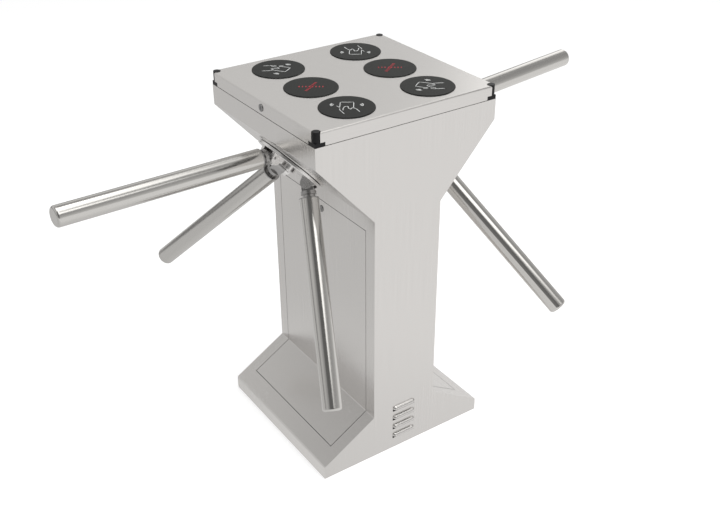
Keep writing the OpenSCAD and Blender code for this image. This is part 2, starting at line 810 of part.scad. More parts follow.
// Pair of cheeks whose sides run tangent from the base to the round end
module clevis() {
    z0 = esc_t + hub_gap + hub_t - hub_edge;
    drop = pivot_h - z0;
    reach = norm([cheek_base / 2, drop]);
    turn = acos(cheek_r / reach) - atan(drop / (cheek_base / 2));
    tangent = blend_share * cheek_r * [cos(turn), sin(turn)];
    for (side = [-1, 1])
        translate([pivot_r, side * (boss_w / 2 + cheek_clear + cheek_t / 2), pivot_h])
            along_y(cheek_t) {
                circle(r = cheek_r);
                polygon([[-cheek_base / 2, -drop], [cheek_base / 2, -drop], tangent,
                    [-tangent.x, tangent.y]]);
            }
}

module shaft() color(machined) head_frame() rotate([0, 0, head_turn]) difference() {
    union() {
        drum(shaft_flange_r, shaft_flange_in, esc_t + hub_gap);
        drum(shaft_r, -shaft_end, shaft_flange_in);
        drum(sleeve_r, -barrel_end + bearing_w + seat_gap, -outer_bearing_z - bearing_w - seat_gap);
    }
    drum(hub_bolt_r, esc_t + hub_gap + hub_t + hub_boss_h - bolt_head_h - hub_bolt_l, esc_t + 2 * hub_gap);
}

module head_fasteners() color(zinc) head_frame() rotate([0, 0, head_turn]) {
    head_z = esc_t + hub_gap + hub_t + hub_boss_h - bolt_head_h;
    cheek_y = boss_w / 2 + cheek_clear + cheek_t;
    drum(hub_bolt_r, head_z - hub_bolt_l, head_z);
    difference() {
        drum(bolt_head_r, head_z, head_z + bolt_head_h);
        translate([0, 0, head_z + bolt_head_h - hex_d]) cylinder(h = 2 * hex_d, r = hex_r, $fn = 6);
    }
    for (k = [0 : 2]) rotate([0, 0, 120 * k]) translate([pivot_r, 0, pivot_h]) {
        rod_y(pin_dia / 2, -cheek_y, cheek_y + pin_nut_h + overrun);
        rod_y(pin_head_r, -cheek_y - pin_head_h, -cheek_y);
        translate([0, cheek_y, 0]) rotate([-90, 0, 0]) cylinder(h = pin_nut_h, r = pin_nut_r, $fn = 6);
    }
    difference() {
        translate([0, 0, -wheel_boss_end - shaft_nut_h])
            cylinder(h = shaft_nut_h, r = shaft_nut_r, $fn = 6);
        drum(shaft_r, -wheel_boss_end - 2 * shaft_nut_h, -wheel_boss_end + overrun);
    }
}

// Wheel with its boss, the stop blocks on its rim with a notch between each two, and the cam that is keyed
// to the boss
module index_wheel() color(machined) head_frame() {
    difference() {
        union() {
            drum(wheel_r - notch_d, -wheel_z - wheel_t, -wheel_z);
            drum(wheel_boss_r, -wheel_boss_end, -barrel_end - mech_t - wheel_boss_in);
        }
        drum(shaft_r, -wheel_boss_end - overrun, 0);
    }
    difference() {
        drum(wheel_r, -wheel_z - wheel_t, -wheel_z);
        drum(wheel_r - notch_d + join_gap, -wheel_z - wheel_t - overrun, -wheel_z + overrun);
        for (i = [0 : notch_n - 1]) rotate([0, 0, i * 360 / notch_n + 90])
            slab([4 * notch_d, bolt_w + 2 * notch_clear, 2 * wheel_t],
                [wheel_r, 0, -wheel_z - wheel_t - overrun]);
    }
    translate([0, 0, -cam_z - cam_t]) linear_extrude(cam_t) difference() {
        polygon([for (i = [0 : cam_points - 1])
            let (a = 360 * i / cam_points, r = cam_r + cam_lobe * cos(3 * a)) [r * cos(a), r * sin(a)]]);
        circle(r = wheel_boss_r + join_gap);
    }
}

module detent_lever() color(zinc) head_frame() translate([0, -lever_y, 0]) {
    difference() {
        union() {
            slab([lever_pivot_x - lever_end_x, lever_w, lever_t],
                [(lever_pivot_x + lever_end_x) / 2, 0, -lever_z - lever_t]);
            for (x = [lever_pivot_x, lever_end_x])
                translate([x, 0, 0]) drum(x > 0 ? lever_boss_r : lever_w / 2, -lever_z - lever_t, -lever_z);
        }
        translate([lever_pivot_x, 0, 0])
            drum(lever_pivot_r + fit, -lever_z - lever_t - overrun, -lever_z + overrun);
    }
    drum(roller_pin_r, -lever_z, -cam_z);
    drum(roller_r, -cam_z - cam_t + roller_play, -cam_z - roller_play);
}

module lock_bolt() color(zinc) head_frame() translate([0, 0, -bolt_z()]) {
    y = wheel_r + lock_play;
    slab([bolt_w, bolt_l, bolt_h], [0, y + bolt_l / 2, -bolt_h / 2]);
    rod_y(rod_r, y + bolt_l, y + bolt_l + rod_l);
}

// Arm, in its own frame

module knuckle(k) color(zinc) arm_frame(k) difference() {
    union() {
        rod_y(knuckle_r, -boss_w / 2, boss_w / 2);
        slab([2 * knuckle_r, boss_w, collar_z], [0, 0, 0]);
        drum(collar_r, collar_z, collar_z + collar_t);
        drum(neck_r, collar_z, tube_z);
        drum(arm_dia / 2, tube_z - tube_shoulder_t, tube_z);
        drum(arm_dia / 2 - arm_wall, tube_z, tube_z + plug_l);
    }
    rod_y(pin_dia / 2 + fit, -boss_w, boss_w);
}

module arm_tube(k) color(bright) arm_frame(k) difference() {
    drum(arm_dia / 2, tube_z, arm_l - cap_t);
    drum(arm_dia / 2 - arm_wall, tube_z - overrun, arm_l - cap_t + overrun);
}

module arm_cap(k) color(bright) arm_frame(k) translate([0, 0, arm_l - cap_t]) {
    r = arm_dia / 2;
    rotate_extrude() {
        square([r - cap_edge, cap_t]);
        square([r, cap_t - cap_edge]);
        translate([r - cap_edge, cap_t - cap_edge]) intersection() {
            circle(r = cap_edge);
            square(cap_edge);
        }
    }
    drum(r - arm_wall, -cap_plug_l, 0);
}

base_frame();
equipment_plate();
color(steel) end_plate(true);  // front_plate
color(steel) turned(true) end_plate(false);  // back_plate
skin();  // left_skin
turned(true) skin();  // right_skin
lid_ledge();
corner_posts();
control_board();
power_supply();
head_housing();  // left_head_housing
turned(true) head_housing();  // right_head_housing
color(steel) for (right = [false, true]) turned(right) head_frame() escutcheon();  // hub_escutcheons
color(bright) for (right = [false, true]) turned(right) head_frame()  // shaft_bearings
        for (z = [-outer_bearing_z, -barrel_end + bearing_w]) bearing(z);
color(dark) for (right = [false, true]) turned(right) head_frame() solenoid();  // lock_solenoids
color(bright) for (right = [false, true]) turned(right) head_frame() detent_spring();  // detent_springs
lid();
color(dark) disc(-disc_x, -disc_y);  // left_front_reader_disc
color(dark) disc(-disc_x, disc_y);  // left_back_reader_disc
color(dark) disc(disc_x, -disc_y);  // right_front_reader_disc
color(dark) disc(disc_x, disc_y);  // right_back_reader_disc
color(dark) disc(-disc_x, 0);  // left_indicator_disc
color(dark) disc(disc_x, 0);  // right_indicator_disc
disc_boards();
lid_lock();  // left_lid_lock
turned(true) lid_lock();  // right_lid_lock
access_panel();  // left_access_panel
turned(true) access_panel();  // right_access_panel
panel_lock();  // left_panel_lock
turned(true) panel_lock();  // right_panel_lock
hub();  // left_hub
turned(true) hub();  // right_hub
shaft();  // left_shaft
turned(true) shaft();  // right_shaft
index_wheel();  // left_index_wheel
turned(true) index_wheel();  // right_index_wheel
head_fasteners();  // left_head_fasteners
turned(true) head_fasteners();  // right_head_fasteners
detent_lever();  // left_detent_lever
turned(true) detent_lever();  // right_detent_lever
lock_bolt();  // left_lock_bolt
turned(true) lock_bolt();  // right_lock_bolt
knuckle(1);  // left_knuckle_1
knuckle(2);  // left_knuckle_2
knuckle(3);  // left_knuckle_3
arm_tube(1);  // left_arm_tube_1
arm_tube(2);  // left_arm_tube_2
arm_tube(3);  // left_arm_tube_3
arm_cap(1);  // left_arm_cap_1
arm_cap(2);  // left_arm_cap_2
arm_cap(3);  // left_arm_cap_3
turned(true) knuckle(1);  // right_knuckle_1
turned(true) knuckle(2);  // right_knuckle_2
turned(true) knuckle(3);  // right_knuckle_3
turned(true) arm_tube(1);  // right_arm_tube_1
turned(true) arm_tube(2);  // right_arm_tube_2
turned(true) arm_tube(3);  // right_arm_tube_3
turned(true) arm_cap(1);  // right_arm_cap_1
turned(true) arm_cap(2);  // right_arm_cap_2
turned(true) arm_cap(3);  // right_arm_cap_3
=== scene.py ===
"""Double tripod turnstile: its finishes, signs, lights, painted seam shade and springs, and the
stage.
"""

import math

import bmesh
import bpy
import numpy as np
from bpy.props import FloatProperty, FloatVectorProperty, IntProperty, PointerProperty
from mathutils import Matrix, Vector


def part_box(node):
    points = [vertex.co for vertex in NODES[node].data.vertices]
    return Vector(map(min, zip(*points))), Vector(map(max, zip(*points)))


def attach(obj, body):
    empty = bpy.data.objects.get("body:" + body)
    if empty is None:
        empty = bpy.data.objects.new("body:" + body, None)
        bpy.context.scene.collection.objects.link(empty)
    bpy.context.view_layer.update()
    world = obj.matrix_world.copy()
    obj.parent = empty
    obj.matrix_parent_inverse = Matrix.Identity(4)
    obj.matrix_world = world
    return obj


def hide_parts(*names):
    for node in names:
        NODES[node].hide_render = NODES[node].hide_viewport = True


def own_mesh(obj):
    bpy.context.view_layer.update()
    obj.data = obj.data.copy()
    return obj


bl_info = {
    "name": "Double Tripod Turnstile",
    "version": (1, 0, 0),
    "blender": (4, 5, 0),
    "location": "View3D > Sidebar > Turnstile",
    "description": "Finishes a waisted pedestal turnstile with two drop-arm tripod heads",
    "category": "Object",
}

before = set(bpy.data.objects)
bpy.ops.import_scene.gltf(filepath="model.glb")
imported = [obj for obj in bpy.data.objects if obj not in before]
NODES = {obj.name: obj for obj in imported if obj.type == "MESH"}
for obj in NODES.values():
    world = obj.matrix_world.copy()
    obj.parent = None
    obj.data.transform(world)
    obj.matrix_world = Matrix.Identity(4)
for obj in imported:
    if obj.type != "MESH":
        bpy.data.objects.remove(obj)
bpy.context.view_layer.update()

SIDES = ("left", "right")
# Each reader's sign: the way it slants, and the half turns on top of that
DISC_SHARES = {"left_front": (-1, 0), "right_back": (-1, 1),
               "right_front": (1, 0), "left_back": (1, 1)}

# The sign's card corners, edges, wave marks and hand, as shares of the card's width and height
CORNER_SHARE = 0.12
LEFT_EDGE_SHARE = 0.5
RIGHT_EDGE_SHARE = 0.3
WAVE_SHARE = 0.1
HAND_SHARES = (
    ((-0.72, -0.1), (-0.5, -0.36), (-0.5, -0.72), (-0.36, -0.95), (-0.16, -1.3)),
    ((-0.26, -0.78), (-0.24, -0.4), (-0.1, -0.16), (0.08, -0.16), (0.16, -0.5), (0.3, -0.6),
     (0.42, -0.34), (0.66, -0.5), (0.96, -0.98)),
)
WAVE_SWEEP = math.radians(100)
CORNER_STEPS = 6
WAVE_STEPS = 8
DOT_STEPS = 12

# Vertices nearer than this become one, and those this near to a panel's top are its upper edge
MERGE_GAP = 0.00001
EDGE_GAP = 0.001

# Grain of the brushed metals along x, y and z: coarse along the brushing, fine across it
ALONG_X = (5.0, 700.0, 700.0)
ALONG_Y = (700.0, 5.0, 700.0)
ALONG_Z = (700.0, 700.0, 5.0)

# Colours that have no setting of their own
HUB_COLOUR = (0.86, 0.85, 0.84)
ZINC_COLOUR = (0.5, 0.5, 0.49)
MACHINED_COLOUR = (0.45, 0.46, 0.47)
LOCK_COLOUR = (0.3, 0.3, 0.3)
LACQUER_COLOUR = (0.02, 0.12, 0.05)
CASE_COLOUR = (0.03, 0.03, 0.035)

# How far the roughness of metal and of plastic goes below and above its setting
METAL_SPREAD = (-0.05, 0.07)
PLASTIC_SPREAD = (-0.06, 0.1)
# Full height of their relief, in metres
METAL_RELIEF = 0.0002
PLASTIC_RELIEF = 0.0003
PLASTIC_SPECULAR = 0.25
# Handling marks on metal, and the middle of the noise that they come from
MARKS = {"Scale": 3.0, "Amount": 0.08}
NOISE_MIDDLE = 0.5

# The lines across a disc: their direction, number, light and dark, and relief
DISC_ROUGHNESS = 0.42
DISC_SPECULAR = 0.12
RIB_TURN = math.radians(45)
RIB_SCALE = 110.0
RIB_SHADES = (0.75, 1.35)
RIB_DEPTH = 0.25

# The lights under a disc: their mottling, the share of red in its dark spots, and their glow
LAMP_ROUGHNESS = 0.5
LAMP_MARKS = {"Scale": 300.0, "Amount": 0.2}
LAMP_DIM = 0.6
LAMP_GLOW = 0.25

# The floor, and its level as metal sees it, along a level direction
FLOOR_COLOUR = (0.82, 0.82, 0.82)
FLOOR_ROUGHNESS = 0.9
FLOOR_GLOW = 0.5
MIRROR_WAY = (0.6, -0.8, 0.0)
MIRROR_SPAN = (-0.7, 0.7)
MIRROR_LEVELS = (0.64, 0.9)
MIRROR_COLOUR = (1.0, 0.99, 0.98, 1.0)

# The ceiling as metal sees it: heights and levels in front and behind, and where they meet
CEILING_TINT = (1.0, 0.99, 0.975)
FRONT_LEVELS = ((0.0, 0.6), (0.35, 0.42), (0.74, 0.34), (0.82, 0.5), (0.88, 1.9))
BACK_LEVELS = ((0.0, 0.12), (0.1, 0.55), (0.3, 0.66), (0.5, 0.78), (0.64, 0.5),
               (0.78, 0.32), (0.86, 0.5), (0.92, 1.9))
FRONT_TO_BACK = (-0.2, 0.2)
# Sectors of it: azimuth in degrees, cosines at the edge, levels outside and inside
DARK_SECTOR = (-127.0, (0.84, 0.93), (1.0, 0.4))
PALE_SECTOR = (36.0, (0.97, 0.985), (1.0, 2.0))
LIT_SECTOR = (-75.0, (0.89, 0.93), (0.0, 1.0))
LIT_HEIGHTS = (0.55, 0.62)
LIT_COLOUR = (1.9, 1.88, 1.85, 1.0)
# What lights the rest, and what the camera sees
AMBIENT_COLOUR = (0.55, 0.55, 0.55, 1.0)
BACKDROP_COLOUR = (1.0, 1.0, 1.0, 1.0)

# Square lamps: name, place, size and power
LAMPS = (
    ("key_panel", (0.8, -2.6, 2.6), 2.4, 50.0),
    ("fill_panel", (-3.2, -0.6, 2.2), 2.2, 10.0),
    ("top_panel", (0.3, 0.4, 3.6), 2.0, 20.0),
)
LAMP_AIM = Vector((0.0, 0.0, 0.5))
SENSOR_WIDTH = 36.0


def named(*words):
    """CAD nodes whose names hold one of the words."""
    return [name for name in NODES if any(word in name for word in words)]


# Settings

class TurnstileFinish(bpy.types.PropertyGroup):
    sheet: FloatVectorProperty(
        name="Sheet", description="Colour of the satin stainless sheet", subtype="COLOR",
        size=3, min=0, max=1, default=(0.75, 0.735, 0.72))
    sheet_roughness: FloatProperty(
        name="Sheet roughness", description="How blurred the sheet's reflections are",
        subtype="FACTOR", min=0, max=1, default=0.24)
    tube: FloatVectorProperty(
        name="Tube", description="Colour of the polished arm tubes", subtype="COLOR",
        size=3, min=0, max=1, default=(0.66, 0.65, 0.63))
    tube_roughness: FloatProperty(
        name="Tube roughness", description="How blurred the tubes' reflections are",
        subtype="FACTOR", min=0, max=1, default=0.16)
    casting: FloatVectorProperty(
        name="Casting", description="Colour of the cast knuckles", subtype="COLOR",
        size=3, min=0, max=1, default=(0.45, 0.445, 0.44))
    disc: FloatVectorProperty(
        name="Disc", description="Colour of the charcoal discs", subtype="COLOR",
        size=3, min=0, max=1, default=(0.016, 0.017, 0.016))
    black: FloatVectorProperty(
        name="Black", description="Colour of the corner posts", subtype="COLOR",
        size=3, min=0, max=1, default=(0.006, 0.006, 0.007))
    sign: FloatVectorProperty(
        name="Sign", description="Colour of the printed signs", subtype="COLOR",
        size=3, min=0, max=1, default=(0.78, 0.79, 0.78))
    lamp: FloatVectorProperty(
        name="Lamp", description="Colour of the barred-way lights", subtype="COLOR",
        size=3, min=0, max=1, default=(0.62, 0.015, 0.03))


class TurnstileSigns(bpy.types.PropertyGroup):
    line: FloatProperty(
        name="Line", description="Width of a printed line", unit="LENGTH",
        min=0.0005, max=0.003, default=0.0016)
    height: FloatProperty(
        name="Height", description="Thickness of the print", unit="LENGTH",
        min=0.0001, max=0.001, default=0.0003)
    turn: FloatProperty(
        name="Turn", description="Turn of the signs from the lid's edges", subtype="ANGLE",
        min=0.0, max=math.pi / 2, default=math.radians(35))
    rise: FloatProperty(
        name="Rise", description="Distance of the card's middle from the disc's", unit="LENGTH",
        min=0.0, max=0.02, default=0.007)
    card_w: FloatProperty(
        name="Card width", description="Width of the card in the sign", unit="LENGTH",
        min=0.02, max=0.05, default=0.031)
    card_h: FloatProperty(
        name="Card height", description="Height of the card in the sign", unit="LENGTH",
        min=0.015, max=0.05, default=0.038)
    wave_x: FloatProperty(
        name="Wave distance", description="Distance from the middle to the wave marks",
        unit="LENGTH", min=0.02, max=0.05, default=0.028)
    rings: IntProperty(name="Rings", description="Arcs in each wave mark", min=1, max=4, default=3)
    lamp_w: FloatProperty(
        name="Lamp width", description="Width of one light mark", unit="LENGTH",
        min=0.001, max=0.006, default=0.0022)
    lamp_l: FloatProperty(
        name="Lamp length", description="Length of one light mark", unit="LENGTH",
        min=0.002, max=0.012, default=0.007)
    lamp_pitch: FloatProperty(
        name="Lamp pitch", description="Distance between light marks", unit="LENGTH",
        min=0.003, max=0.012, default=0.008)
    lamp_count: IntProperty(
        name="Lamps", description="Light marks on each bar of the cross", min=3, max=10, default=8)


# Painted shade: dark strips laid in the access panels' seams, standing in for the shade in each
# seam
class TurnstileSeamShades(bpy.types.PropertyGroup):
    gap: FloatProperty(
        name="Seam", description="Width of the seam round an access panel", unit="LENGTH",
        min=0.001, max=0.002, default=0.0015)
    play: FloatProperty(
        name="Play", description="Gap between the seal and each edge of its seam", unit="LENGTH",
        min=0.0, max=0.0005, default=0.0001)
    recess: FloatProperty(
        name="Recess", description="Depth of the seal's face below the sheet's", unit="LENGTH",
        min=0.0, max=0.0015, default=0.0003)
    thickness: FloatProperty(
        name="Thickness", description="Thickness of the seal", unit="LENGTH",
        min=0.0005, max=0.0016, default=0.0012)
    # Painted shade: the strips' dark colour stands in for the shade in the seams
    colour: FloatVectorProperty(
        name="Rubber", description="Colour of the rubber seals", subtype="COLOR",
        size=3, min=0, max=1, default=(0.02, 0.02, 0.02))


class TurnstileSprings(bpy.types.PropertyGroup):
    keep: FloatProperty(
        name="Kept length", description="Share of its length that a pressed detent spring keeps",
        subtype="FACTOR", min=0.4, max=0.9, default=0.66)


class TurnstileStage(bpy.types.PropertyGroup):
    lens: FloatProperty(
        name="Lens", description="Focal length on a 36 mm wide sensor", min=20, max=120,
        default=49.275)
    azimuth: FloatProperty(
        name="Azimuth", description="Camera azimuth in degrees", default=-34.24)
    elevation: FloatProperty(
        name="Elevation", description="Camera elevation in degrees", default=30.91)
    roll: FloatProperty(name="Roll", description="Camera roll in degrees", default=-0.30)
    place: FloatVectorProperty(
        name="Place", description="Camera position", subtype="TRANSLATION", size=3,
        default=(-1.2647, -1.8909, 1.8168))
    floor_size: FloatProperty(
        name="Floor", description="Half width of the floor", unit="LENGTH", default=12.0)


# Shader groups

def new_node(nodes, kind, values=(), **settings):
    """Shader node with its settings and the values of its inputs."""
    node = nodes.new(f"ShaderNode{kind}")
    for key, setting in settings.items():
        setattr(node, key, setting)
    for label, value in dict(values).items():
        node.inputs[label].default_value = value
    return node


def span(end, pair):
    """Input values for one end of a Map Range node."""
    return {f"{end} Min": pair[0], f"{end} Max": pair[1]}


def new_group(name, inputs, outputs):
    group = bpy.data.node_groups.new(name, "ShaderNodeTree")
    for label, kind, default in inputs:
        socket = group.interface.new_socket(name=label, in_out="INPUT", socket_type=kind)
        socket.default_value = default
    for label, kind in outputs:
        group.interface.new_socket(name=label, in_out="OUTPUT", socket_type=kind)
    return group, group.nodes.new("NodeGroupInput"), group.nodes.new("NodeGroupOutput")


def brushed_grain_group():
    """Fine lines that run along one axis, as belt brushing leaves them."""
    group, given, made = new_group(
        "Brushed Grain",
        [("Stretch", "NodeSocketVector", ALONG_Z), ("Seed", "NodeSocketFloat", 0.0)],
        [("Lines", "NodeSocketFloat")])
    links, nodes = group.links, group.nodes
    place = new_node(nodes, "TexCoord")
    scaled = new_node(nodes, "VectorMath", operation="MULTIPLY")
    noise = new_node(nodes, "TexNoise", {"Scale": 1.0, "Detail": 3.0}, noise_dimensions="4D")
    links.new(place.outputs["Object"], scaled.inputs[0])
    links.new(given.outputs["Stretch"], scaled.inputs[1])
    links.new(scaled.outputs[0], noise.inputs["Vector"])
    links.new(given.outputs["Seed"], noise.inputs["W"])
    links.new(noise.outputs["Fac"], made.inputs["Lines"])


def handling_marks_group():
    """Broad faint patches, where hands and cloths have passed over the metal."""
    group, given, made = new_group(
        "Handling Marks",
        [(label, "NodeSocketFloat", value) for label, value in MARKS.items()],
        [("Marks", "NodeSocketFloat")])
    links, nodes = group.links, group.nodes
    place = new_node(nodes, "TexCoord")
    noise = new_node(nodes, "TexNoise", {"Detail": 4.0, "Roughness": 0.6})
    centred = new_node(nodes, "Math", {1: NOISE_MIDDLE}, operation="SUBTRACT")
    amount = new_node(nodes, "Math", operation="MULTIPLY")
    links.new(place.outputs["Object"], noise.inputs["Vector"])
    links.new(given.outputs["Scale"], noise.inputs["Scale"])
    links.new(noise.outputs["Fac"], centred.inputs[0])
    links.new(centred.outputs[0], amount.inputs[0])
    links.new(given.outputs["Amount"], amount.inputs[1])
    links.new(amount.outputs[0], made.inputs["Marks"])


def grouped(tree, name, **values):
    node = new_node(tree.nodes, "Group")
    node.node_tree = bpy.data.node_groups[name]
    for label, value in values.items():
        node.inputs[label].default_value = value
    return node


# Materials

def plain_material(name, colour, metallic, roughness):
    material = bpy.data.materials.new(name)
    material.use_nodes = True
    shader = material.node_tree.nodes["Principled BSDF"]
    shader.inputs["Base Color"].default_value = (*colour, 1.0)
    shader.inputs["Metallic"].default_value = metallic
    shader.inputs["Roughness"].default_value = roughness
    return material, material.node_tree, shader


def shade_colour(tree, shader, colour, lines, shades):
    """Makes a colour darker and lighter along a pattern's lines."""
    shade = new_node(tree.nodes, "MapRange", span("To", shades))
    mix = new_node(tree.nodes, "Mix", {"Factor": 1.0, "A": (*colour, 1.0)},
                   data_type="RGBA", blend_type="MULTIPLY")
    tree.links.new(lines, shade.inputs["Value"])
    tree.links.new(shade.outputs["Result"], mix.inputs["B"])
    tree.links.new(mix.outputs["Result"], shader.inputs["Base Color"])


def spread_roughness(tree, roughness, lines, spread):
    """Roughness that goes below and above its setting along a pattern's lines."""
    gloss = new_node(tree.nodes, "MapRange", span("To", [roughness + part for part in spread]))
    tree.links.new(lines, gloss.inputs["Value"])
    return gloss.outputs["Result"]


def emboss(tree, shader, lines, depth, relief):
    """Relief along a pattern's lines."""
    bump = new_node(tree.nodes, "Bump", {"Strength": depth, "Distance": relief})
    tree.links.new(lines, bump.inputs["Height"])
    tree.links.new(bump.outputs["Normal"], shader.inputs["Normal"])


def brushed_metal(name, colour, roughness, stretch, depth, tone=0.06, seed=0.0):
    """Metal with fine lines in its colour, roughness and relief."""
    material, tree, shader = plain_material(name, colour, 1.0, roughness)
    lines = grouped(tree, "Brushed Grain", Stretch=stretch, Seed=seed).outputs["Lines"]
    marks = grouped(tree, "Handling Marks", **MARKS)
    wear = new_node(tree.nodes, "Math", operation="ADD")
    shade_colour(tree, shader, colour, lines, (1.0 - tone, 1.0 + tone))
    tree.links.new(spread_roughness(tree, roughness, lines, METAL_SPREAD), wear.inputs[0])
    tree.links.new(marks.outputs["Marks"], wear.inputs[1])
    tree.links.new(wear.outputs[0], shader.inputs["Roughness"])
    emboss(tree, shader, lines, depth, METAL_RELIEF)
    return material


def moulded_plastic(name, colour, roughness, grain, depth):
    """Plastic with a fine moulded grain."""
    material, tree, shader = plain_material(name, colour, 0.0, roughness)
    shader.inputs["Specular IOR Level"].default_value = PLASTIC_SPECULAR
    lines = grouped(tree, "Brushed Grain", Stretch=even(grain)).outputs["Lines"]
    tree.links.new(spread_roughness(tree, roughness, lines, PLASTIC_SPREAD),
                   shader.inputs["Roughness"])
    emboss(tree, shader, lines, depth, PLASTIC_RELIEF)
    return material


def ribbed_disc(name, colour):
    """Charcoal disc face with fine straight lines across it."""
    material, tree, shader = plain_material(name, colour, 0.0, DISC_ROUGHNESS)
    shader.inputs["Specular IOR Level"].default_value = DISC_SPECULAR
    place = new_node(tree.nodes, "TexCoord")
    turn = new_node(tree.nodes, "Mapping", {"Rotation": (0.0, 0.0, RIB_TURN)})
    wave = new_node(tree.nodes, "TexWave", {"Scale": RIB_SCALE}, wave_type="BANDS")
    tree.links.new(place.outputs["Object"], turn.inputs["Vector"])
    tree.links.new(turn.outputs["Vector"], wave.inputs["Vector"])
    shade_colour(tree, shader, colour, wave.outputs["Fac"], RIB_SHADES)
    emboss(tree, shader, wave.outputs["Fac"], RIB_DEPTH, METAL_RELIEF)
    return material


def glowing_lamp(name, colour):
    """Red light mark under the disc's skin."""
    material, tree, shader = plain_material(name, colour, 0.0, LAMP_ROUGHNESS)
    marks = grouped(tree, "Handling Marks", **LAMP_MARKS)
    ramp = new_node(tree.nodes, "ValToRGB")
    ramp.color_ramp.elements[0].color = (colour[0] * LAMP_DIM, colour[1], colour[2], 1.0)
    ramp.color_ramp.elements[1].color = (*colour, 1.0)
    tree.links.new(marks.outputs["Marks"], ramp.inputs["Fac"])
    tree.links.new(ramp.outputs["Color"], shader.inputs["Base Color"])
    shader.inputs["Emission Color"].default_value = (*colour, 1.0)
    shader.inputs["Emission Strength"].default_value = LAMP_GLOW
    return material


def even(grain):
    """Grain of one size along each axis."""
    return (grain, grain, grain)


def dress(material, names):
    for name in names:
        for slot in NODES[name].material_slots:
            slot.material = material


# Modelling helpers

def finish_piece(name, bm, material, body):
    """Turns a bmesh into a piece that rides on a body."""
    bmesh.ops.remove_doubles(bm, verts=bm.verts, dist=MERGE_GAP)
    bmesh.ops.recalc_face_normals(bm, faces=bm.faces)
    mesh = bpy.data.meshes.new(name)
    bm.to_mesh(mesh)
    bm.free()
    mesh.materials.append(material)
    piece = bpy.data.objects.new(name, mesh)
    bpy.context.scene.collection.objects.link(piece)
    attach(piece, body)
    return piece


def arc_ribbon(bm, centre, radius, width, start, sweep, steps):
    """Flat ribbon along an arc in the XY plane."""
    spoke = Vector((math.cos(start), math.sin(start), 0.0))
    centre = Vector((*centre, 0.0))
    ends = [bm.verts.new(centre + spoke * (radius + side * width / 2)) for side in (-1, 1)]
    edge = bm.edges.new(ends)
    bmesh.ops.spin(bm, geom=[*ends, edge], cent=centre, axis=(0, 0, 1), angle=sweep, steps=steps,
                   use_merge=False, use_duplicate=False)


def line_ribbon(bm, start, end, width):
    """Flat ribbon along a straight line in the XY plane."""
    start, end = Vector(start), Vector(end)
    along = end - start
    turn = Matrix.Rotation(math.atan2(along.y, along.x), 4, "Z")
    size = Matrix.Diagonal((along.length / 2, width / 2, 1.0, 1.0))
    middle = Matrix.Translation((*((start + end) / 2), 0.0))
    bmesh.ops.create_grid(bm, x_segments=1, y_segments=1, size=1.0, matrix=middle @ turn @ size)


def path_ribbon(bm, points, width):
    """Flat ribbon along straight lines, with a round dot at each of its points."""
    for point in points:
        bmesh.ops.create_circle(bm, cap_ends=True, segments=DOT_STEPS, radius=width / 2,
                                matrix=Matrix.Translation((*point, 0.0)))
    for start, end in zip(points, points[1:]):
        line_ribbon(bm, start, end, width)


def thicken(bm, height):
    """Gives flat print its thickness, upwards."""
    made = bmesh.ops.extrude_face_region(bm, geom=bm.faces[:])
    top = [item for item in made["geom"] if isinstance(item, bmesh.types.BMVert)]
    bmesh.ops.translate(bm, verts=top, vec=(0.0, 0.0, height))


def draw_hand_and_card(bm, signs):
    """Generic sign: a hand that pushes a card up between two wave marks."""
    line, w, h = signs.line, signs.card_w, signs.card_h
    corner = w * CORNER_SHARE
    left, right, top = -w / 2, w / 2, h / 2
    for edge, start in ((left + corner, math.pi / 2), (right - corner, 0.0)):
        arc_ribbon(bm, (edge, top - corner), corner, line, start, math.pi / 2, CORNER_STEPS)
    path_ribbon(bm, [(left + corner, top), (right - corner, top)], line)
    path_ribbon(bm, [(left, top - corner), (left, -h * LEFT_EDGE_SHARE)], line)
    path_ribbon(bm, [(right, top - corner), (right, -h * RIGHT_EDGE_SHARE)], line)
    for outline in HAND_SHARES:
        path_ribbon(bm, [(x * w, y * h) for x, y in outline], line)
    for side, facing in ((-1, math.pi), (1, 0.0)):
        for ring in range(1, signs.rings + 1):
            arc_ribbon(bm, (side * signs.wave_x, h * WAVE_SHARE), ring * 2 * line, line,
                       facing - WAVE_SWEEP / 2, WAVE_SWEEP, WAVE_STEPS)


# Operators

